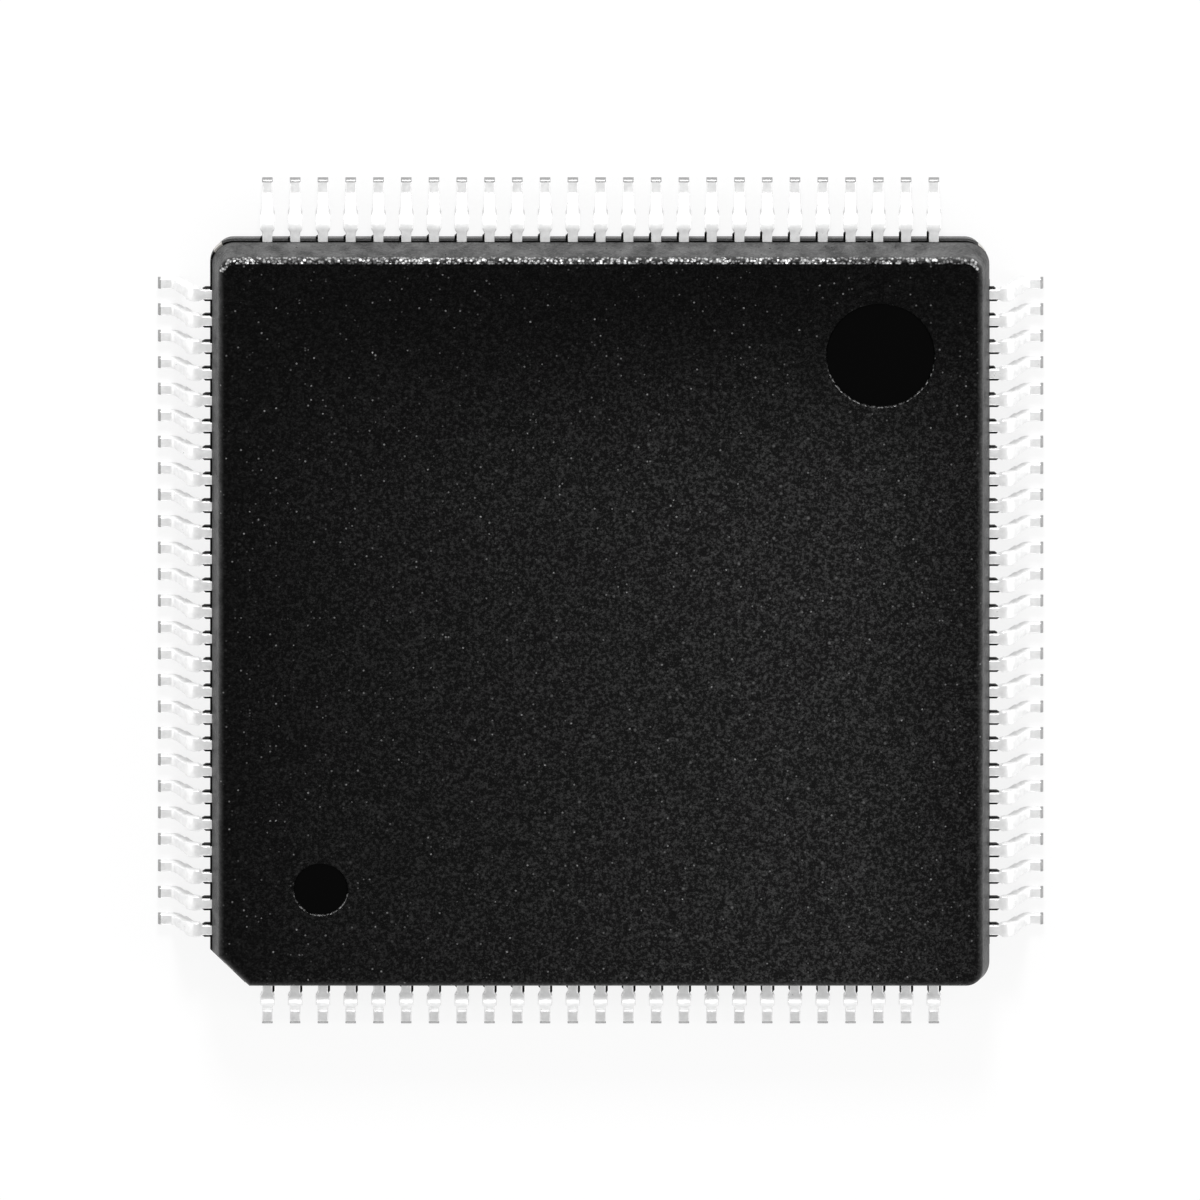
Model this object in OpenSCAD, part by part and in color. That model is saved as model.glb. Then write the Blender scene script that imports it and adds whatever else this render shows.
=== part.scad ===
// Quad flat pack: a moulded body with a row of gull-wing leads on each of its four sides, and the
// leadframe, die and bond wires that the moulding holds.
// Millimetres. The origin is on the seating plane under the middle of the body, +Z is up, and the
// chamfered corner beside pin 1 is at -X -Y. Pins are counted anticlockwise from there, seen from above.

/* [Body] */
// Width of the square body at its parting line
body_w = 14; // [13.8:0.1:15]
// Thickness of the body from underside to top face
body_t = 1.35; // [1.3:0.05:1.6]
// Gap between the seating plane and the underside
standoff = 0.05; // [0.05:0.01:0.15]
// Draft angle of the walls above and below the leadframe
draft = 13; // [5:1:15]
// Radius along the edges of the top face and the underside
edge_r = 0.14; // [0.05:0.01:0.18]
// Radius of the three plain corners at the parting line
corner_r = 0.42; // [0.4:0.01:0.6]
// Leg of the chamfer on the corner beside pin 1
index_chamfer = 0.63; // [0.4:0.01:0.8]
// How far the lower mould half sits off towards -X
mismatch_x = 0.03; // [0:0.01:0.06]
// How far the lower mould half sits off towards +Y
mismatch_y = 0.02; // [0:0.01:0.06]

/* [Leads] */
// Leads on each side
leads_per_side = 25; // [15:5:25]
// Distance between neighbouring leads
pitch = 0.5; // [0.42:0.01:0.5]
// Thickness of the leadframe
lead_t = 0.15; // [0.1:0.01:0.2]
// Reach of a lead from the body wall to its toe
lead_reach = 0.97; // [0.95:0.01:1.2]
// Length of the straight part of the foot
foot_len = 0.22; // [0.2:0.01:0.3]
// Slope of the shank above the seating plane
shank_angle = 66; // [60:1:80]
// Inner radius of the bend above the foot
heel_r = 0.08; // [0.05:0.01:0.1]
// Inner radius of the bend at the shoulder
shoulder_r = 0.1; // [0.05:0.01:0.12]
// Radius along the top edge of the toe
toe_r = 0.05; // [0.02:0.01:0.08]
// Width of a lead where it leaves the body
neck_w = 0.18; // [0.15:0.01:0.2]
// Width of a lead at the stubs left by the cut dam bar
dam_w = 0.26; // [0.22:0.01:0.3]
// Width of the shank
shank_w = 0.2; // [0.17:0.01:0.22]
// Width of the foot
foot_w = 0.19; // [0.16:0.01:0.22]
// Distance from the body wall to the flare of the dam bar stubs
neck_len = 0.17; // [0.1:0.01:0.2]
// Length over which a lead widens towards its dam bar stubs
dam_flare = 0.07; // [0.04:0.01:0.1]
// Distance from the body wall to the outer end of the dam bar stubs
dam_out = 0.49; // [0.4:0.01:0.55]
// Length over which the sheared end of a stub narrows to the shank
shear_len = 0.035; // [0.02:0.005:0.05]

/* [Mould marks] */
// Distance of both round marks from the middle of the body, along X and along Y
mark_place = 5.04; // [4.5:0.01:5.2]
// Diameter of the large ejector marks
ejector_d = 1.98; // [1.5:0.01:2.2]
// Diameter of the dimple beside pin 1
index_d = 1; // [0.8:0.01:1.2]
// Depth of the round marks
mark_depth = 0.05; // [0.02:0.01:0.08]
// Width of the sloping wall round each mark
mark_wall_w = 0.03; // [0.01:0.01:0.05]
// Thickness of the resin left beside the necks, from the underside of the leads
residue_t = 0.08; // [0.04:0.01:0.1]
// Flash beyond the parting line on the -Y, +X, +Y and -X sides
flash = [0.01, 0.005, 0.02, 0.03]; // [0:0.005:0.04]

/* [Inside] */
// Width of the square die
die_w = 6; // [5:0.1:6.4]
// Thickness of the die
die_t = 0.28; // [0.2:0.01:0.35]
// Thickness of the adhesive under the die
glue_t = 0.025; // [0.015:0.005:0.05]
// How far the adhesive spreads beyond the die
glue_edge = 0.05; // [0.02:0.01:0.1]
// Width of the square paddle that carries the die
paddle_w = 7.4; // [7:0.1:7.6]
// How far the paddle is set down below the leadframe
downset = 0.2; // [0.15:0.01:0.25]
// Width of the bars that hold the paddle by its corners
tie_w = 0.2; // [0.15:0.01:0.22]
// Gap between the paddle's edge and the tips of the leads
tip_gap = 0.5; // [0.4:0.01:0.6]
// Width of a lead at its tip
tip_w = 0.13; // [0.1:0.01:0.15]
// Width of a lead where its fan meets the straight part
fan_w = 0.16; // [0.13:0.01:0.18]
// Angle between neighbouring lead tips, seen from the middle of the die
fan_step = 3.36; // [3:0.01:3.4]
// Depth inside the body over which the leads run straight
straight_in = 0.6; // [0.5:0.05:0.8]
// Depth inside the body at which the leads turn towards the die
knee_in = 1.8; // [1.5:0.05:1.9]
// Diameter of a bond wire
wire_d = 0.03; // [0.025:0.001:0.035]
// Diameter of the ball that starts a bond wire
ball_d = 0.07; // [0.06:0.01:0.09]
// Height of the straight rise of a bond wire above the die
wire_rise = 0.1; // [0.08:0.01:0.12]
// Radius of the bend at the top of a bond wire
wire_bend_r = 0.06; // [0.04:0.01:0.08]
// Distance between neighbouring bond pads
pad_pitch = 0.23; // [0.15:0.01:0.23]
// Distance of the bond pads from the edge of the die
pad_inset = 0.1; // [0.08:0.01:0.15]
// Distance of a wire's landing from the tip of its lead
landing = 0.12; // [0.1:0.01:0.15]

/* [Hidden] */
$fn = 48;
SIDES = [0 : 3];
GROUP = 5;                                       // leads, or wires, that share one node
groups = 4*leads_per_side/GROUP;
over = 0.5;                                      // how far a cutting tool runs past what it cuts
body_half = body_w/2;
shell_h = (body_t - lead_t)/2;                   // height of each mould half
lead_z = standoff + shell_h;                     // underside of the leadframe inside the body
lead_top = lead_z + lead_t;
body_top = standoff + body_t;
index_reach = (body_w - index_chamfer)/sqrt(2);  // from the middle to the chamfer, along the diagonal
edge_run = edge_r/tan((90 + draft)/2);           // length that the edge radius takes off each face
tip_u = paddle_w/2 + tip_gap;
fan_u = body_half - straight_in;                 // where the fan meets the straight part of the leads
knee_u = body_half - knee_in;                    // where the fan turns towards the tips
paddle_top = lead_top - downset;
glue_top = paddle_top + glue_t;
die_top = glue_top + die_t;
foot_run = heel_r + lead_t/2;                    // centre-line radii of the two bends
shoulder_run = shoulder_r + lead_t/2;
rise = lead_z;                                   // from the foot's centre line to the shoulder's
shank_len = (rise - (foot_run + shoulder_run)*(1 - cos(shank_angle)))/sin(shank_angle);
// Resin on the -X and +X flanks of the necks of the -Y, +X, +Y and -X sides: its share of the notch
// between the wall and the dam bar stub at the first pin and at the last pin, and its width
residue = [
    [[0.2, 0.9, 0.03], [1, 0.9, 0.04]],
    [[0.9, 0.85, 0.05], [0.8, 0.5, 0.03]],
    [[0, 0, 0.03], [0.9, 0.3, 0.04]],
    [[0.75, 0.75, 0.03], [0.75, 0.75, 0.05]]
];
residue_least = 0.85;                            // the share varies from lead to lead between these two
residue_most = 1.1;
residue_taper = 0.7;                             // share of its run at which the resin starts to narrow
residue_seed = 7;
residue_root = corner_r;                         // how deep the resin beside the necks starts in the body
tie_angle = 45;                                  // slope of the bars that climb from the paddle

function three_digits(n) = str(n < 10 ? "00" : n < 100 ? "0" : "", n);
function group_name(kind, g) =
    str(kind, "_", three_digits(GROUP*g + 1), "_", three_digits(GROUP*(g + 1)));

// ---- Places along a side. A side's own frame has its leads pointing to -Y, in pin order along +X.

function along(i) = (i - (leads_per_side - 1)/2)*pitch;
function fan_angle(i) = (i - (leads_per_side - 1)/2)*fan_step;
function pad_place(i) = [(i - (leads_per_side - 1)/2)*pad_pitch, pad_inset - die_w/2];
function on_fan(i, u) = [u*tan(fan_angle(i)), -u];

module on_side(side) { rotate(90*side) children(); }

// ---- Leads

// A ring sector about the origin, from angle 0 to angle turn
module bend(inner_r, turn) {
    outer_r = inner_r + lead_t;
    intersection() {
        difference() {
            circle(outer_r);
            circle(inner_r);
        }
        polygon([[0, 0], for (a = [0, turn/2, turn]) 2*outer_r*[cos(a), sin(a)]]);
    }
}

// Side view of a gull-wing lead, with X outwards. The origin is on the foot's centre line at the heel.
module gull_wing_profile() {
    difference() {
        translate([0, -lead_t/2]) square([foot_len, lead_t]);
        translate([foot_len - toe_r, lead_t/2 - toe_r]) difference() {
            square(toe_r + over);
            circle(toe_r);
        }
    }
    translate([0, foot_run]) rotate(-90 - shank_angle) bend(heel_r, shank_angle);
    translate(foot_run*[-sin(shank_angle), 1 - cos(shank_angle)]) rotate(-shank_angle) {
        translate([-shank_len, -lead_t/2]) square([shank_len, lead_t]);
        translate([-shank_len, -shoulder_run]) {
            rotate(90) bend(shoulder_r, shank_angle);
            rotate(shank_angle) translate([-body_half, shoulder_r]) square([body_half, lead_t]);
        }
    }
}

// The straight lead from above, one flank: distance from the middle of the body and half width
function flank() = [
    [body_half, neck_w/2],
    [body_half + neck_len, neck_w/2],
    [body_half + neck_len + dam_flare, dam_w/2],
    [body_half + dam_out - shear_len, dam_w/2],
    [body_half + dam_out, shank_w/2],
    [body_half + lead_reach - foot_len, foot_w/2],
    [body_half + lead_reach + over, foot_w/2]
];

// Half width along X of a fan arm of width w that leans by slope
function leaning(w, slope) = w/2*sqrt(1 + slope*slope);

// Lead i of a side from above: a fan arm from its tip to the straight part, then the flanks
function lead_outline(i) =
    let (
        tip = on_fan(i, tip_u),
        knee = on_fan(i, knee_u),
        tip_slope = tan(fan_angle(i)),
        arm_slope = (along(i) - knee.x)/(fan_u - knee_u),
        tip_half = [leaning(tip_w, tip_slope), 0],
        knee_half = [leaning((tip_w + fan_w)/2, (tip_slope + arm_slope)/2), 0],
        fan_half = leaning(fan_w, arm_slope/2),
        side = [[fan_half, -fan_u], for (p = flank()) [p[1], -p[0]]],
        last = len(side) - 1
    )
    concat(
        [tip - tip_half, knee - knee_half],
        [for (p = side) [along(i) - p.x, p.y]],
        [for (k = [0 : last]) [along(i) + side[last - k].x, side[last - k].y]],
        [knee + knee_half, tip + tip_half]
    );

module lead(i) {
    intersection() {
        linear_extrude(body_top) polygon(lead_outline(i));
        translate([0, foot_len - body_half - lead_reach, lead_t/2]) rotate([90, 0, -90])
            linear_extrude(2*body_w, center = true) gull_wing_profile();
    }
}

// The room that a lead takes up inside the moulding
module lead_slot(i) {
    intersection() {
        translate([0, 0, lead_z]) linear_extrude(lead_t) polygon(lead_outline(i));
        translate([-body_w, -body_half - dam_out/2, 0]) cube([2*body_w, body_w, body_top]);
    }
}

// ---- Bond wires

// Straight line on the plan from a wire's ball to its landing on the lead, as [length, heading]
function wire_span(i) =
    let (run = on_fan(i, tip_u + landing) - pad_place(i)) [norm(run), atan2(run.y, run.x)];

// Slope at which a wire that bends over at the top comes down on the leads, to a thousandth of a degree
function wire_slope(span) =
    let (across = span - wire_bend_r, down = die_top + wire_rise - lead_top)
    round(1000*(asin(wire_bend_r/norm([across, down])) + atan2(down, across)))/1000;

module bond_wire(i) {
    span = wire_span(i);
    slope = wire_slope(span[0]);
    translate([pad_place(i).x, pad_place(i).y, die_top]) rotate(span[1]) difference() {
        union() {
            cylinder(h = wire_d/2, d = ball_d);
            cylinder(h = wire_rise, d = wire_d);
            translate([wire_bend_r, 0, wire_rise]) rotate([90, 0, 0]) rotate(90 - slope) {
                rotate_extrude(angle = 90 + slope) translate([wire_bend_r, 0]) circle(d = wire_d);
                translate([wire_bend_r, 0]) rotate([90, 0, 0]) cylinder(h = span[0], d = wire_d);
            }
        }
        translate([wire_bend_r, -over, lead_top - die_top - body_t]) cube([2*span[0], 2*over, body_t]);
    }
}

// ---- Paddle, adhesive and die

module square_plate(w, z, t) { translate([-w/2, -w/2, z]) cube([w, w, t]); }

// A bar that leaves a corner of the paddle and climbs to the plane of the leads
module tie_bar() {
    corner = paddle_w/sqrt(2);
    bend_at = corner + lead_t;
    climb = downset/tan(tie_angle);
    back = lead_t*tan(tie_angle/2);
    rotate([90, 0, 0]) linear_extrude(tie_w, center = true) polygon([
        [corner - tie_w, paddle_top - lead_t],
        [bend_at, paddle_top - lead_t],
        [bend_at + climb, lead_z],
        [body_w, lead_z],
        [body_w, lead_top],
        [bend_at + climb - back, lead_top],
        [bend_at - back, paddle_top],
        [corner - tie_w, paddle_top]
    ]);
}

module die_paddle() {
    color([0.62, 0.6, 0.57]) {
        square_plate(paddle_w, paddle_top - lead_t, lead_t);
        intersection() {
            for (side = SIDES) rotate(45 + 90*side) tie_bar();
            translate([-mismatch_x, mismatch_y]) linear_extrude(body_top) parting_outline();
        }
    }
}

module die_adhesive() {
    color([0.75, 0.75, 0.7]) square_plate(die_w + 2*glue_edge, paddle_top, glue_t);
}

module die() {
    color([0.35, 0.37, 0.42]) square_plate(die_w, glue_top, die_t);
}

// ---- Moulding

// Section of a mould half behind a drafted wall, from the axis of the corner radius: X outwards, Y up
module wall_profile(back) {
    edge = [corner_r - shell_h*tan(draft), shell_h];
    on_wall = edge + edge_run*[sin(draft), -cos(draft)];
    on_face = edge - [edge_run, 0];
    centre = on_face - [0, edge_r];
    difference() {
        polygon([[-back, 0], [corner_r, 0], edge, [-back, shell_h]]);
        difference() {
            polygon([
                centre,
                on_wall,
                on_wall + over*[cos(draft), sin(draft)],
                edge + [over, over],
                on_face + [0, over],
                on_face
            ]);
            translate(centre) circle(edge_r);
        }
    }
}

module wall(reach) {
    translate([reach - corner_r, 0]) rotate([90, 0, 0])
        linear_extrude(2*body_w, center = true) wall_profile(2*body_w);
}

module on_plain_corners() {
    for (turn = [0, 90, 270]) rotate(turn) translate((body_half - corner_r)*[1, 1]) children();
}

// One half of the moulding, standing on the leadframe's plane
module mould_half() {
    difference() {
        intersection() {
            intersection_for (side = SIDES) rotate(90*side) wall(body_half);
            rotate(225) wall(index_reach);
        }
        on_plain_corners() difference() {
            translate([0, 0, -over]) cube([corner_r + over, corner_r + over, shell_h + 2*over]);
            rotate_extrude() wall_profile(0);
        }
    }
}

module parting_outline() {
    difference() {
        square(body_w, center = true);
        on_plain_corners() difference() {
            square(corner_r + over);
            circle(corner_r);
        }
        rotate(225) translate([index_reach, -body_half]) square(body_w);
    }
}

// Flash along the parting line of a side
module flash_strip(side) {
    row = leads_per_side*pitch;
    translate([-row/2, -body_half - flash[side]]) square([row, flash[side] + residue_root]);
}

// Resin that stays beside the necks where the web between the leads was punched out
module neck_residue(side) {
    spread = rands(residue_least, residue_most, 2*leads_per_side, residue_seed + side);
    notch = neck_len + dam_flare;
    for (i = [0 : leads_per_side - 1], flank = [0, 1]) {
        share = residue[side][flank];
        along_row = i/(leads_per_side - 1);
        run = notch*min(spread[2*i + flank]*(share[0] + (share[1] - share[0])*along_row), 1);
        outer = neck_w/2 + share[2];
        translate([along(i), -body_half]) mirror([1 - flank, 0]) polygon([
            [0, residue_root],
            [outer, residue_root],
            [outer, -residue_taper*run],
            [neck_w/2, -run],
            [0, -run]
        ]);
    }
}

// A shallow round recess that opens upwards at z = 0
module round_mark(d) {
    translate([0, 0, -mark_depth]) cylinder(h = mark_depth, d1 = d - 2*mark_wall_w, d2 = d);
    cylinder(h = over, d = d);
}

module moulded_body() {
    color([0.1, 0.1, 0.1]) difference() {
        union() {
            translate([0, 0, lead_top]) mould_half();
            translate([-mismatch_x, mismatch_y, lead_z]) {
                mirror([0, 0, 1]) mould_half();
                linear_extrude(lead_t) parting_outline();
            }
            translate([0, 0, lead_z]) for (side = SIDES) on_side(side) {
                linear_extrude(lead_t) flash_strip(side);
                linear_extrude(residue_t) neck_residue(side);
            }
        }
        for (side = SIDES) on_side(side) for (i = [0 : leads_per_side - 1]) lead_slot(i);
        for (side = SIDES) on_side(side) for (i = [0 : leads_per_side - 1]) bond_wire(i);
        die_paddle();
        die_adhesive();
        die();
        translate([mark_place, mark_place, body_top]) round_mark(ejector_d);
        translate([-mark_place, -mark_place, body_top]) round_mark(index_d);
        for (side = SIDES) rotate(90*side) translate([mark_place, mark_place, standoff])
            mirror([0, 0, 1]) round_mark(ejector_d);
    }
}

// ---- Groups of five leads or wires that share a node

module grouped(g) {
    for (pin = [GROUP*g : GROUP*(g + 1) - 1]) {
        $place = pin % leads_per_side;
        on_side(floor(pin/leads_per_side)) children();
    }
}

module leads(g) {
    color([0.83, 0.83, 0.82]) grouped(g) lead($place);
}

module bond_wires(g) {
    color([0.9, 0.72, 0.3]) grouped(g) bond_wire($place);
}

moulded_body();
die_paddle();
die_adhesive();
die();
for (g = [0 : groups - 1]) leads(g);
for (g = [0 : groups - 1]) bond_wires(g);
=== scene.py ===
# Looks of the quad flat pack: plated leads with rounded edges, matte moulding compound with smooth
# ejector marks, the metals and the silicon inside, a pale table and soft studio light.
import math

import bmesh
import bpy
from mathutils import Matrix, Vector


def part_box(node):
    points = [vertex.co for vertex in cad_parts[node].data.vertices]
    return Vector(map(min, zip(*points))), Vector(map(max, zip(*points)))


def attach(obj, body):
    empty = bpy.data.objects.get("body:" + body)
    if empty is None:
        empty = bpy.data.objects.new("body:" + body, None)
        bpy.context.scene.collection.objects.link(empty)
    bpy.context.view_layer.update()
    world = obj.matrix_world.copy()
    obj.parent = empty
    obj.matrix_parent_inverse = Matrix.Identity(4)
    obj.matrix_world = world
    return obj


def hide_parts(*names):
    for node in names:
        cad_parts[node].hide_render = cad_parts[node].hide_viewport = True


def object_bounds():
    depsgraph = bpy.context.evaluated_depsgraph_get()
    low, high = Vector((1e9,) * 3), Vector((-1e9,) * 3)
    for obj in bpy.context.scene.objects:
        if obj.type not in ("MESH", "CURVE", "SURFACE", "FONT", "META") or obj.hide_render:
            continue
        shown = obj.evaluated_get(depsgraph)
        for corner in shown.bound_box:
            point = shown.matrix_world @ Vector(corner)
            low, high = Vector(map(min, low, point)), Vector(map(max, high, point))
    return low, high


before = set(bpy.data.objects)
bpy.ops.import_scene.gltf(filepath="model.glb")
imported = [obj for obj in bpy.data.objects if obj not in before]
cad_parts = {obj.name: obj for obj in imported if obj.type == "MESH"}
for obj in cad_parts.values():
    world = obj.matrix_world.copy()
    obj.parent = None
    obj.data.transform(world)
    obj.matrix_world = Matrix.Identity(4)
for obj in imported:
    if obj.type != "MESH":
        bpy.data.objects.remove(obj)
CAD_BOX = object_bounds()
MM = 0.001

# Leads, as in the construction, in millimetres
LEADS_PER_SIDE = 25
GROUP = 5
SIDES = 4
PITCH = 0.5
BODY_HALF = 7.0
LEAD_T = 0.15
LEAD_Z = 0.65
LEAD_REACH = 0.97
FOOT_LEN = 0.22
SHANK_ANGLE = math.radians(66)
HEEL_R = 0.08
SHOULDER_R = 0.1
TOE_R = 0.05
NECK_W = 0.18
DAM_W = 0.26
SHANK_W = 0.2
FOOT_W = 0.19
NECK_LEN = 0.17
DAM_FLARE = 0.07
DAM_OUT = 0.49
SHEAR_LEN = 0.035
TIP_U = 4.2
TIP_W = 0.13
FAN_W = 0.16
FAN_STEP = math.radians(3.36)
FAN_U = BODY_HALF - 0.6
KNEE_U = BODY_HALF - 1.8

# Finish of a lead's edges
ROLLED_R = 0.02          # rounding of the upper edges
BURR_R = 0.012           # rounding of the lower edges
CUT_LEN = 0.045          # length of the bare sheared face that shows at a toe

# Sections of a lead's sweep
CORNER_STEPS = 3
BEND_STEPS = 12
SHANK_STEPS = 14
TOE_STEPS = 5
RUN_STEPS = 4            # in the neck, the dam stub and the foot
SECTION_HALF = 1.0       # half width at which a section is drawn, before it takes the lead's own

# Round marks of the mould on the top face
MARK_PLACE = 5.04
EJECTOR_R = 0.99
INDEX_R = 0.5
MARK_DEPTH = 0.05

# How far above and below the parting line the walls keep the top's dark colour, without their painted
# light
PARTING_FADE = 0.04

# Painted highlight on the top face, a paler colour, along X and along Y
PAINTED_HIGHLIGHT_WEST = -7.2
PAINTED_HIGHLIGHT_KNEE = -5.0
PAINTED_HIGHLIGHT_KNEE_SHARE = 0.28
PAINTED_HIGHLIGHT_FULL = 3.0
PAINTED_HIGHLIGHT_EAST = 4.8
PAINTED_HIGHLIGHT_EAST_LOSS = 0.6
PAINTED_HIGHLIGHT_SOUTH = 2.0
PAINTED_HIGHLIGHT_NORTH = 6.4

# Camera
TILT = math.radians(17.5)        # of the view from straight above, towards +Y
VIEW_WIDTH = 21.606              # width of the picture on the object
VIEW_SHIFT_X = -0.011
VIEW_SHIFT_Y = -0.011
CAMERA_DISTANCE = 400.0
CAMERA_NEAR = 0.001              # in metres, as is the next
CAMERA_FAR = 10.0

# Table and room
TABLE_SIZE = 1.2                 # in metres
TABLE_GREY = 0.86
TABLE_SEEN_WHITE = 0.86          # share of plain white that the camera sees in the table
TABLE_SHINY_WHITE = 0.8          # and that gloss and glass see in it
CEILING_GREY = 0.45
CEILING_FROM = 0.55              # height in the world's generated vector where the ceiling starts to grey
CEILING_TO = 0.87

# Round soft boxes: name, place and diameter in millimetres, radiance
SOFT_BOXES = (
    ("north_box", (0, 90, 50), 25, 60.0),
    ("east_box", (95, -15, 50), 50, 3.5),
    ("south_box", (0, -95, 50), 50, 2.5),
    ("west_box", (-95, 0, 50), 50, 1.5),
)


# ---- Node helpers

class Nodes:
    """Short names for building a node tree."""

    def __init__(self, tree):
        self.tree = tree
        tree.nodes.clear()

    def add(self, kind, inputs=None, **settings):
        node = self.tree.nodes.new(kind)
        for name, value in settings.items():
            setattr(node, name, value)
        for name, value in (inputs or {}).items():
            self.put(node.inputs[name], value)
        return node

    def put(self, socket, value):
        if isinstance(value, bpy.types.NodeSocket):
            self.tree.links.new(value, socket)
        else:
            socket.default_value = value

    def math(self, operation, a, b=0.0, clamp=False):
        node = self.add("ShaderNodeMath", {0: a, 1: b}, operation=operation)
        node.use_clamp = clamp
        return node.outputs[0]

    def span(self, value, low, high, to_low=0.0, to_high=1.0, smooth=False):
        kind = "SMOOTHSTEP" if smooth else "LINEAR"
        node = self.add(
            "ShaderNodeMapRange",
            {"Value": value, "From Min": low, "From Max": high,
             "To Min": to_low, "To Max": to_high},
            interpolation_type=kind,
        )
        return node.outputs["Result"]

    def noise(self, place, per_mm, detail=2.0, rough=0.5):
        node = self.add(
            "ShaderNodeTexNoise",
            {"Vector": place, "Scale": per_mm / MM, "Detail": detail, "Roughness": rough},
        )
        return node.outputs["Fac"]

    def mix_colour(self, share, a, b):
        node = self.add("ShaderNodeMix", data_type="RGBA")
        self.put(node.inputs["Factor"], share)
        self.put(node.inputs["A"], a)
        self.put(node.inputs["B"], b)
        return node.outputs["Result"]

    def bump(self, height, depth_mm, strength=1.0):
        inputs = {"Height": height, "Distance": depth_mm * MM, "Strength": strength}
        return self.add("ShaderNodeBump", inputs).outputs["Normal"]


def new_material(name):
    material = bpy.data.materials.new(name)
    material.use_nodes = True
    return material, Nodes(material.node_tree)


def place_of(n):
    return n.add("ShaderNodeTexCoord").outputs["Object"]


def finish_material(n, inputs):
    shader = n.add("ShaderNodeBsdfPrincipled", inputs)
    n.add("ShaderNodeOutputMaterial", {"Surface": shader.outputs["BSDF"]})


def grey(value):
    return (value, value, value, 1.0)


# ---- Materials

def mark_masks(n, place):
    """1 within the round marks of the top face; and 1 on their smooth floors only."""
    split = n.add("ShaderNodeSeparateXYZ", {"Vector": place})
    x, y, z = split.outputs
    sunk = n.span(z, TOP_Z - 0.3 * MARK_DEPTH * MM, TOP_Z - 0.9 * MARK_DEPTH * MM)
    upper = n.math("GREATER_THAN", z, 0.5 * TOP_Z)
    masks = []
    for centre, radius in ((MARK_PLACE, EJECTOR_R), (-MARK_PLACE, INDEX_R)):
        dx = n.math("SUBTRACT", x, centre * MM)
        dy = n.math("SUBTRACT", y, centre * MM)
        squares = n.math("ADD", n.math("MULTIPLY", dx, dx), n.math("MULTIPLY", dy, dy))
        away = n.math("SQRT", squares)
        masks.append(n.math("LESS_THAN", away, radius * MM))
    within = n.math("MULTIPLY", n.math("MAXIMUM", masks[0], masks[1]), upper)
    return within, n.math("MULTIPLY", within, sunk)


def slope_masks(n, place):
    """1 on the walls, which are painted lighter, 0 on flat faces and the parting line; and 1 on the top's
    rounding facing +Y, where a glint band is painted.
    """
    normal = n.add("ShaderNodeNewGeometry").outputs["True Normal"]
    _, north, upward = n.add("ShaderNodeSeparateXYZ", {"Vector": normal}).outputs
    z = n.add("ShaderNodeSeparateXYZ", {"Vector": place}).outputs[2]
    over = n.span(z, (LEAD_Z + LEAD_T) * MM, (LEAD_Z + LEAD_T + PARTING_FADE) * MM)
    under = n.span(z, LEAD_Z * MM, (LEAD_Z - PARTING_FADE) * MM)
    steep_painted_light = n.span(n.math("ABSOLUTE", upward), 0.98, 0.25)
    band = n.math("MULTIPLY", n.span(upward, 0.3, 0.5), n.span(upward, 0.9999, 0.98))
    painted_light_walls = n.math("MULTIPLY", steep_painted_light, n.math("MAXIMUM", over, under))
    painted_glint_crest = n.math("MULTIPLY", band, n.span(north, 0.02, 0.1))
    return painted_light_walls, painted_glint_crest


def bloom_mask(n, place):
    """Painted highlight on the top face: paler colour that grows from west to east and dies away to the
    north, 0 to 1.
    """
    x, y, _ = n.add("ShaderNodeSeparateXYZ", {"Vector": place}).outputs
    west = n.span(x, PAINTED_HIGHLIGHT_WEST * MM, PAINTED_HIGHLIGHT_KNEE * MM, 0.0, PAINTED_HIGHLIGHT_KNEE_SHARE)
    middle = n.span(x, PAINTED_HIGHLIGHT_KNEE * MM, PAINTED_HIGHLIGHT_FULL * MM, 0.0, 1.0 - PAINTED_HIGHLIGHT_KNEE_SHARE)
    east = n.span(x, PAINTED_HIGHLIGHT_EAST * MM, BODY_HALF * MM, 0.0, PAINTED_HIGHLIGHT_EAST_LOSS)
    north = n.span(y, PAINTED_HIGHLIGHT_NORTH * MM, PAINTED_HIGHLIGHT_SOUTH * MM, smooth=True)
    across = n.math("SUBTRACT", n.math("ADD", west, middle), east)
    return n.math("MULTIPLY", across, north)


def grains(n, place, per_mm, rarity, inner, outer):
    """Round grains scattered in the resin: their mask, a random tone and a random vector of each."""
    cells = n.add("ShaderNodeTexVoronoi", {"Vector": place, "Scale": per_mm / MM, "Randomness": 1.0})
    pick = n.add("ShaderNodeSeparateColor", {"Color": cells.outputs["Color"]})
    chosen = n.math("GREATER_THAN", pick.outputs[0], rarity)
    close = n.span(cells.outputs["Distance"], inner, outer, 1.0, 0.0)
    return n.math("MULTIPLY", chosen, close), pick.outputs[1], cells.outputs["Color"]


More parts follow.
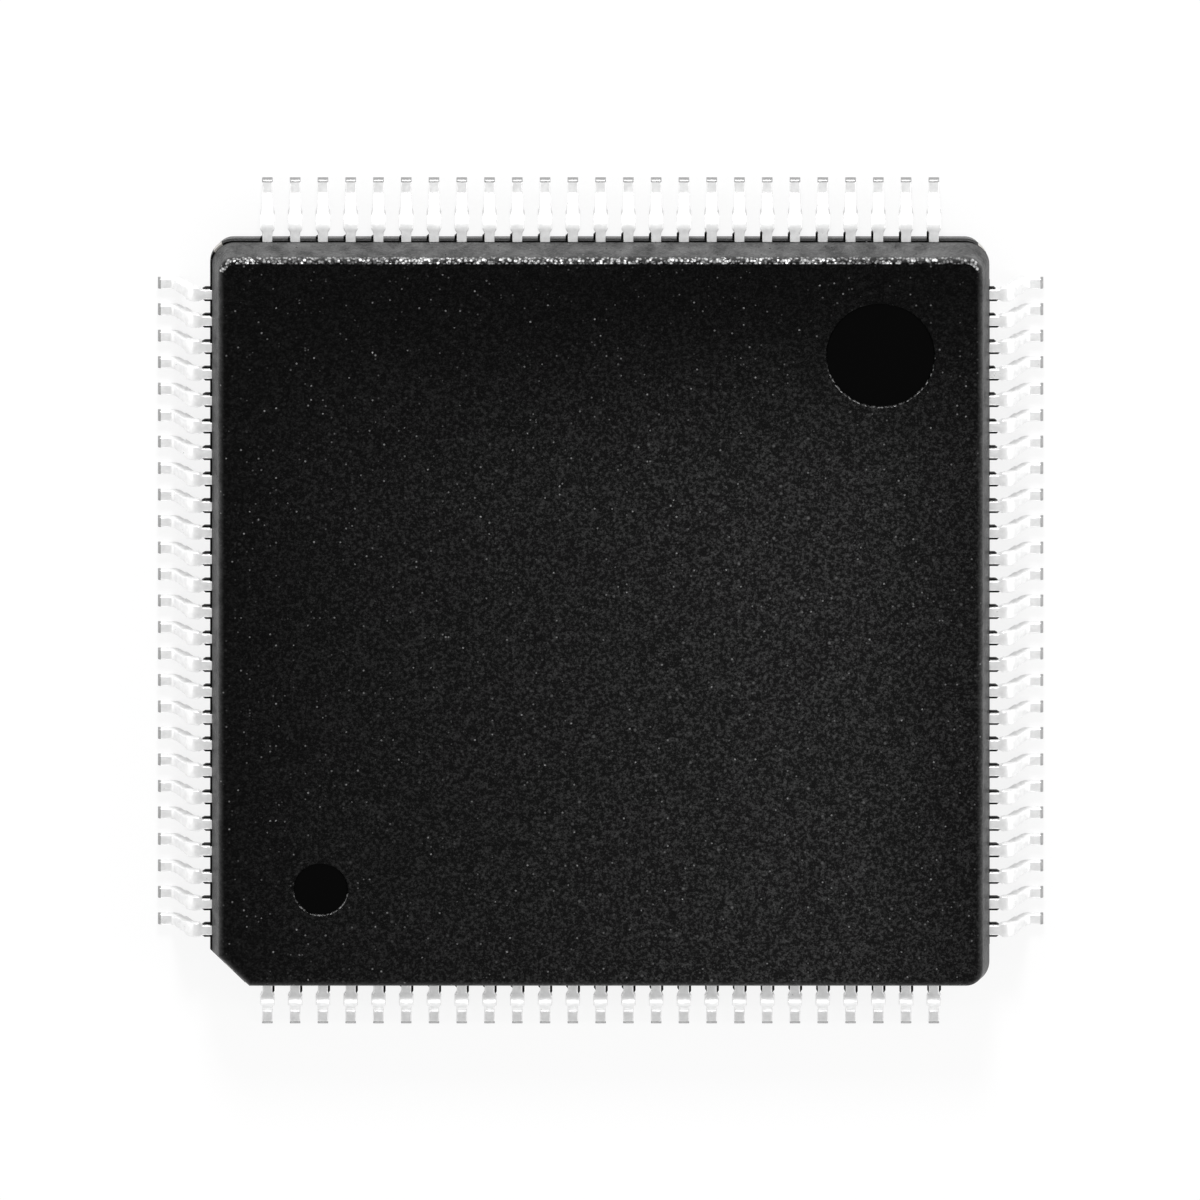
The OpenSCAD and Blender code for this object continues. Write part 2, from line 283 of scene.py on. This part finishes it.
def moulding_compound():
    """Black epoxy with silica filler: a spark-eroded matt skin, and polished floors in the round marks."""
    material, n = new_material("moulding_compound")
    place = place_of(n)
    in_mark, smooth = mark_masks(n, place)
    matt = n.math("SUBTRACT", 1.0, smooth)
    steep_painted_light, painted_glint_crest = slope_masks(n, place)
    steep_painted_light = n.math("MULTIPLY", steep_painted_light, n.math("SUBTRACT", 1.0, in_mark))

    grain = n.noise(place, 16.0, 3.0, 0.6)
    fine = n.noise(place, 34.0, 2.0, 0.6)
    broad = n.noise(place, 3.0, 2.0, 0.5)
    mottle = n.math("ADD", n.math("MULTIPLY", grain, 0.6), n.math("MULTIPLY", fine, 0.4))

    # Painted glint: on the top's rounding facing +Y the grains are denser, larger and brighter, so the
    # north lamp glints in a band there; elsewhere they are sparse filler grains
    rarity = n.span(painted_glint_crest, 0.0, 1.0, 0.95, 0.1)
    outer = n.span(painted_glint_crest, 0.0, 1.0, 0.42, 0.7)
    fleck, tone, turn = grains(n, place, 19.0, rarity, 0.2, outer)
    fleck = n.math("MULTIPLY", fleck, matt)
    fleck_tone_and_painted_glint = n.math("POWER", tone, n.span(painted_glint_crest, 0.0, 1.0, 3.0, 1.0))
    filler, filler_tone, _ = grains(n, place, 8.0, 0.9, 0.1, 0.3)
    filler = n.math("MULTIPLY", filler, n.math("MULTIPLY", filler_tone, matt))

    # Painted highlight: it raises the skin's dark and light tones and the filler grains' tone
    painted_highlight = bloom_mask(n, place)
    dark = n.mix_colour(painted_highlight, grey(0.0003), grey(0.004))
    light = n.mix_colour(painted_highlight, grey(0.006), grey(0.045))
    skin = n.mix_colour(n.span(mottle, 0.47, 0.68), dark, light)
    speckled = n.mix_colour(filler, skin, n.mix_colour(painted_highlight, grey(0.01), grey(0.09)))
    # Painted light: the walls get a paler colour than the top, in broad clouds
    painted_light_wall = n.mix_colour(n.span(n.math("ADD", mottle, broad), 0.75, 1.25), grey(0.04), grey(0.11))
    base = n.mix_colour(steep_painted_light, speckled, painted_light_wall)
    # Painted glint: grains on the +Y rounding are paler metal than the filler grains elsewhere
    fleck_and_painted_glint = n.mix_colour(fleck_tone_and_painted_glint, grey(0.02), n.mix_colour(painted_glint_crest, grey(0.2), grey(0.6)))
    colour = n.mix_colour(smooth, n.mix_colour(fleck, base, fleck_and_painted_glint), grey(0.0004))
    rough = n.math("ADD", n.math("MULTIPLY", n.span(fine, 0.3, 0.7, 0.3, 0.4), matt),
                   n.math("MULTIPLY", 0.22, smooth))

    height = n.math("MULTIPLY", n.math("ADD", grain, n.math("MULTIPLY", fine, 0.35)), matt)
    bumped = n.bump(height, 0.02, 1.0)
    tilt = n.add("ShaderNodeVectorMath", {0: turn, 1: (0.5, 0.5, 0.5)}, operation="SUBTRACT")
    lean = n.math("MULTIPLY", fleck, 0.8)
    tilted = n.add("ShaderNodeVectorMath", {0: tilt.outputs[0], "Scale": lean}, operation="SCALE")
    summed = n.add("ShaderNodeVectorMath", {0: bumped, 1: tilted.outputs[0]}, operation="ADD")
    normal = n.add("ShaderNodeVectorMath", {0: summed.outputs[0]}, operation="NORMALIZE")
    finish_material(n, {
        "Base Color": colour,
        "Metallic": n.math("MULTIPLY", fleck, 0.8),
        "Roughness": rough,
        "Specular IOR Level": 0.06,
        "IOR": 1.5,
        "Normal": normal.outputs[0],
    })
    return material


def matt_tin():
    """Electroplated tin: bright and finely grained, with blotches of tone and cloudy roughness."""
    material, n = new_material("matt_tin")
    place = place_of(n)
    cloud = n.noise(place, 2.2, 2.0, 0.5)
    grain = n.noise(place, 26.0, 3.0, 0.6)
    blotch = n.noise(place, 9.0, 2.0, 0.55)
    colour = n.mix_colour(n.span(blotch, 0.3, 0.75), grey(0.78), grey(0.9))
    rough = n.math("ADD", n.span(cloud, 0.3, 0.7, 0.3, 0.4), n.span(grain, 0.3, 0.7, -0.04, 0.04))
    finish_material(n, {
        "Base Color": colour,
        "Metallic": 0.45,
        "Roughness": rough,
        "Normal": n.bump(n.math("ADD", grain, n.math("MULTIPLY", blotch, 1.5)), 0.0025, 0.8),
    })
    return material


def sheared_end():
    """The face left where a toe is cut off: dull bare alloy with a fine grain."""
    material, n = new_material("sheared_end")
    place = place_of(n)
    grain = n.noise(place, 30.0, 3.0, 0.6)
    colour = n.mix_colour(grain, grey(0.24), grey(0.52))
    finish_material(n, {
        "Base Color": colour,
        "Metallic": 1.0,
        "Roughness": n.span(grain, 0.3, 0.7, 0.45, 0.6),
        "Normal": n.bump(grain, 0.004, 0.8),
    })
    return material


def rolled_alloy():
    """Bare iron-nickel strip, with the lines of its rolling."""
    material, n = new_material("rolled_alloy")
    place = place_of(n)
    stretched = n.add("ShaderNodeMapping", {"Vector": place, "Scale": (1.0, 14.0, 1.0)})
    lines = n.noise(stretched.outputs["Vector"], 2.0, 3.0, 0.6)
    colour = n.mix_colour(lines, (0.5, 0.48, 0.45, 1.0), (0.66, 0.64, 0.6, 1.0))
    finish_material(n, {
        "Base Color": colour,
        "Metallic": 1.0,
        "Roughness": n.span(lines, 0.3, 0.7, 0.28, 0.4),
        "Normal": n.bump(lines, 0.002, 0.6),
    })
    return material


def silver_adhesive():
    """Die attach paste, grey with silver flakes."""
    material, n = new_material("silver_adhesive")
    place = place_of(n)
    flakes = n.noise(place, 18.0, 3.0, 0.7)
    colour = n.mix_colour(flakes, grey(0.35), grey(0.7))
    finish_material(n, {
        "Base Color": colour,
        "Metallic": 0.6,
        "Roughness": n.span(flakes, 0.3, 0.7, 0.45, 0.65),
        "Normal": n.bump(flakes, 0.003, 0.7),
    })
    return material


def polished_silicon():
    """The die's face, with blocks of slightly different tone."""
    material, n = new_material("polished_silicon")
    place = place_of(n)
    blocks = n.add("ShaderNodeTexVoronoi", {"Vector": place, "Scale": 1.4 / MM}, distance="CHEBYCHEV")
    tint = n.add("ShaderNodeSeparateColor", {"Color": blocks.outputs["Color"]})
    colour = n.mix_colour(tint.outputs[0], (0.17, 0.19, 0.25, 1.0), (0.27, 0.29, 0.33, 1.0))
    rough = n.noise(place, 6.0, 2.0, 0.5)
    finish_material(n, {
        "Base Color": colour,
        "Metallic": 0.7,
        "Roughness": n.span(rough, 0.3, 0.7, 0.12, 0.2),
    })
    return material


def drawn_gold():
    """Gold bonding wire."""
    material, n = new_material("drawn_gold")
    place = place_of(n)
    grain = n.noise(place, 40.0, 2.0, 0.5)
    colour = n.mix_colour(grain, (0.83, 0.56, 0.18, 1.0), (0.97, 0.73, 0.33, 1.0))
    finish_material(n, {
        "Base Color": colour,
        "Metallic": 1.0,
        "Roughness": n.span(grain, 0.3, 0.7, 0.15, 0.25),
    })
    return material


# ---- Leads

def along(i):
    """Place of lead i along its side."""
    return (i - (LEADS_PER_SIDE - 1) / 2) * PITCH


def fan_slope(i):
    """Slope of lead i's inner arm, which points at the middle of the chip."""
    return math.tan((i - (LEADS_PER_SIDE - 1) / 2) * FAN_STEP)


def between(points, u):
    """Height at u of the broken line through points of (u, value)."""
    for (u0, v0), (u1, v1) in zip(points, points[1:]):
        if u <= u1:
            share = max(0.0, (u - u0) / (u1 - u0))
            return v0 + (v1 - v0) * share
    return points[-1][1]


def leaning(width, slope):
    """Half width, measured square to the side, of a strip that leans by slope."""
    return width / 2 * math.hypot(1, slope)


def lead_plan(i):
    """Centre and half width of lead i along its run, both as broken lines over u."""
    tip_slope = fan_slope(i)
    knee_x = KNEE_U * tip_slope
    arm_slope = (along(i) - knee_x) / (FAN_U - KNEE_U)
    centre = [(TIP_U, TIP_U * tip_slope), (KNEE_U, knee_x), (FAN_U, along(i)), (BODY_HALF, along(i))]
    half = [
        (TIP_U, leaning(TIP_W, tip_slope)),
        (KNEE_U, leaning((TIP_W + FAN_W) / 2, (tip_slope + arm_slope) / 2)),
        (FAN_U, leaning(FAN_W, arm_slope / 2)),
        (BODY_HALF, NECK_W / 2),
        (BODY_HALF + NECK_LEN, NECK_W / 2),
        (BODY_HALF + NECK_LEN + DAM_FLARE, DAM_W / 2),
        (BODY_HALF + DAM_OUT - SHEAR_LEN, DAM_W / 2),
        (BODY_HALF + DAM_OUT, SHANK_W / 2),
        (BODY_HALF + LEAD_REACH - FOOT_LEN, FOOT_W / 2),
        (BODY_HALF + LEAD_REACH, FOOT_W / 2),
    ]
    return centre, half


def lead_stations():
    """Sections along a lead from tip to toe: the centre line's place and normal, and the top's drop."""
    heel_run = HEEL_R + LEAD_T / 2
    shoulder_run = SHOULDER_R + LEAD_T / 2
    shoulder_z = LEAD_Z + LEAD_T / 2
    foot_z = LEAD_T / 2
    sine, cosine = math.sin(SHANK_ANGLE), math.cos(SHANK_ANGLE)
    shank_len = (LEAD_Z - (heel_run + shoulder_run) * (1 - cosine)) / sine
    heel_u = BODY_HALF + LEAD_REACH - FOOT_LEN
    shoulder_u = heel_u - (heel_run + shoulder_run) * sine - shank_len * cosine
    up = (0.0, 1.0)

    straight = [TIP_U, KNEE_U, FAN_U, BODY_HALF - PITCH / 4, BODY_HALF]
    straight += [BODY_HALF + NECK_LEN * k / RUN_STEPS for k in range(1, RUN_STEPS)]
    straight += [BODY_HALF + NECK_LEN + (shoulder_u - BODY_HALF - NECK_LEN) * k / RUN_STEPS
                 for k in range(RUN_STEPS)]
    stations = [((u, shoulder_z), up, None) for u in straight]
    for k in range(BEND_STEPS + 1):
        a = SHANK_ANGLE * k / BEND_STEPS
        n = (math.sin(a), math.cos(a))
        c = (shoulder_u + shoulder_run * n[0], shoulder_z - shoulder_run * (1 - n[1]))
        stations.append((c, n, None))
    (u0, z0), n0, _ = stations[-1]
    for k in range(1, SHANK_STEPS):
        run = shank_len * k / SHANK_STEPS
        stations.append(((u0 + run * cosine, z0 - run * sine), n0, None))
    for k in range(BEND_STEPS, -1, -1):
        a = SHANK_ANGLE * k / BEND_STEPS
        n = (math.sin(a), math.cos(a))
        stations.append(((heel_u - heel_run * n[0], foot_z + heel_run * (1 - n[1])), n, None))
    foot = FOOT_LEN - TOE_R
    stations += [((heel_u + foot * k / RUN_STEPS, foot_z), up, None) for k in range(1, RUN_STEPS)]
    for k in range(TOE_STEPS + 1):
        a = math.pi / 2 * k / TOE_STEPS
        away = TOE_R * (1 - math.sin(a))
        stations.append(((heel_u + FOOT_LEN - away, foot_z), up, TOE_R * (1 - math.cos(a))))
    return stations


def corner(centre_lat, centre_h, radius, start):
    """Points of a quarter circle about a corner's centre, anticlockwise from the start angle."""
    angles = [start + math.pi / 2 * k / CORNER_STEPS for k in range(CORNER_STEPS + 1)]
    return [(centre_lat + radius * math.cos(a), centre_h + radius * math.sin(a)) for a in angles]


def section(half, drop):
    """Rounded rectangle of a lead's section, with its top lowered by drop."""
    top = LEAD_T / 2 - drop
    bottom = -LEAD_T / 2
    points = corner(half - ROLLED_R, top - ROLLED_R, ROLLED_R, 0.0)
    points += corner(-half + ROLLED_R, top - ROLLED_R, ROLLED_R, math.pi / 2)
    points += corner(-half + BURR_R, bottom + BURR_R, BURR_R, math.pi)
    points += corner(half - BURR_R, bottom + BURR_R, BURR_R, 1.5 * math.pi)
    return points


def add_lead(mesh, pin):
    """Sweeps one lead into the mesh. A side's own frame has its leads pointing to -Y."""
    side, i = divmod(pin, LEADS_PER_SIDE)
    centre, half = lead_plan(i)
    turn = [(1, 0), (0, 1), (-1, 0), (0, -1)][side]
    stations = lead_stations()
    rings = []
    toe = BODY_HALF + LEAD_REACH
    for (cu, cz), (nu, nz), drop in stations:
        ring = []
        for lat, h in section(SECTION_HALF, drop or 0.0):
            u, z = cu + nu * h, cz + nz * h
            reach = between(half, min(u, toe)) - SECTION_HALF
            x = between(centre, u) + (lat + reach if lat > 0 else lat - reach)
            y = -u
            corner_point = Vector((x * turn[0] - y * turn[1], x * turn[1] + y * turn[0], z))
            ring.append(mesh.verts.new(corner_point * MM))
        rings.append(ring)
    count = len(rings[0])
    for a, b, (place, _, _) in zip(rings, rings[1:], stations[1:]):
        cut = place[0] > toe - CUT_LEN
        for k in range(count):
            face = mesh.faces.new((a[k], a[(k + 1) % count], b[(k + 1) % count], b[k]))
            face.smooth = True
            face.material_index = 1 if cut else 0
    mesh.faces.new(reversed(rings[0]))
    end = mesh.faces.new(rings[-1])
    end.material_index = 1


def three_digits(n):
    return str(n).zfill(3)


def build_leads(tin, cut):
    """Plated leads, five to a piece, in place of the CAD leads of the same numbers."""
    for first in range(0, SIDES * LEADS_PER_SIDE, GROUP):
        span = three_digits(first + 1) + "_" + three_digits(first + GROUP)
        work = bmesh.new()
        for pin in range(first, first + GROUP):
            add_lead(work, pin)
        bmesh.ops.recalc_face_normals(work, faces=work.faces)
        mesh = bpy.data.meshes.new("plated_leads_" + span)
        work.to_mesh(mesh)
        work.free()
        mesh.materials.append(tin)
        mesh.materials.append(cut)
        piece = bpy.data.objects.new("plated_leads_" + span, mesh)
        bpy.context.scene.collection.objects.link(piece)
        weighted = piece.modifiers.new("flat_faces", "WEIGHTED_NORMAL")
        weighted.keep_sharp = True
        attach(piece, "root")
        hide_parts("leads_" + span)


# ---- Finish of the pieces that keep their CAD mesh

def dress(node, material):
    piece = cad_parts[node]
    piece.data.materials.clear()
    piece.data.materials.append(material)


# ---- Table, light and camera

def table_material():
    material, n = new_material("pale_table")
    seen = n.add("ShaderNodeLightPath")
    plain = n.add("ShaderNodeBsdfDiffuse", {"Color": grey(TABLE_GREY)})
    white = n.add("ShaderNodeEmission", {"Color": grey(1.0), "Strength": 1.0})
    shiny = n.math("ADD", seen.outputs["Is Glossy Ray"], seen.outputs["Is Transmission Ray"])
    shiny = n.math("MULTIPLY", shiny, TABLE_SHINY_WHITE)
    plainly = n.math("MULTIPLY", seen.outputs["Is Camera Ray"], TABLE_SEEN_WHITE)
    share = n.math("ADD", plainly, shiny, clamp=True)
    blend = n.add("ShaderNodeMixShader", {"Fac": share})
    n.put(blend.inputs[1], plain.outputs[0])
    n.put(blend.inputs[2], white.outputs[0])
    n.add("ShaderNodeOutputMaterial", {"Surface": blend.outputs[0]})
    return material


def build_table():
    work = bmesh.new()
    bmesh.ops.create_grid(work, x_segments=1, y_segments=1, size=TABLE_SIZE / 2)
    mesh = bpy.data.meshes.new("table")
    work.to_mesh(mesh)
    work.free()
    mesh.materials.append(table_material())
    table = bpy.data.objects.new("table", mesh)
    table.location.z = CAD_BOX[0][2]
    bpy.context.scene.collection.objects.link(table)


def add_lamp(name, place, size, radiance):
    """A round soft box aimed at the origin, as bright as a white surface times its radiance."""
    data = bpy.data.lights.new(name, "AREA")
    data.shape = "DISK"
    data.size = size * MM
    data.energy = radiance * (math.pi * size / 2 * MM) ** 2
    lamp = bpy.data.objects.new(name, data)
    lamp.location = Vector(place) * MM
    toward = Vector((0.0, 0.0, 0.0)) - lamp.location
    lamp.rotation_euler = toward.to_track_quat("-Z", "Y").to_euler()
    bpy.context.scene.collection.objects.link(lamp)


def light_scene():
    world = bpy.data.worlds.new("studio")
    bpy.context.scene.world = world
    world.use_nodes = True
    n = Nodes(world.node_tree)
    place = n.add("ShaderNodeTexCoord").outputs["Generated"]
    height = n.add("ShaderNodeSeparateXYZ", {"Vector": place}).outputs[2]
    ceiling = n.span(height, CEILING_FROM, CEILING_TO, smooth=True)
    colour = n.mix_colour(ceiling, grey(1.0), grey(CEILING_GREY))
    room = n.add("ShaderNodeBackground", {"Color": colour, "Strength": 1.0})
    n.add("ShaderNodeOutputWorld", {"Surface": room.outputs[0]})
    for box in SOFT_BOXES:
        add_lamp(*box)


def place_camera():
    data = bpy.data.cameras.new("camera")
    data.type = "ORTHO"
    data.ortho_scale = VIEW_WIDTH * MM
    data.clip_start = CAMERA_NEAR
    data.clip_end = CAMERA_FAR
    camera = bpy.data.objects.new("camera", data)
    back = Vector((0.0, math.sin(TILT), math.cos(TILT)))
    up = Vector((0.0, math.cos(TILT), -math.sin(TILT)))
    aim = Vector((VIEW_SHIFT_X, 0.0, 0.0)) + up * VIEW_SHIFT_Y
    camera.location = (aim + back * CAMERA_DISTANCE) * MM
    camera.rotation_euler = (-TILT, 0.0, 0.0)
    bpy.context.scene.collection.objects.link(camera)
    bpy.context.scene.camera = camera


TOP_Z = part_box("moulded_body")[1][2]

place_camera()
light_scene()
build_table()
build_leads(matt_tin(), sheared_end())
dress("moulded_body", moulding_compound())
dress("die_paddle", rolled_alloy())
dress("die_adhesive", silver_adhesive())
dress("die", polished_silicon())
gold = drawn_gold()
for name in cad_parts:
    if name.startswith("bond_wires"):
        dress(name, gold)

bpy.context.scene.view_settings.view_transform = "Standard"
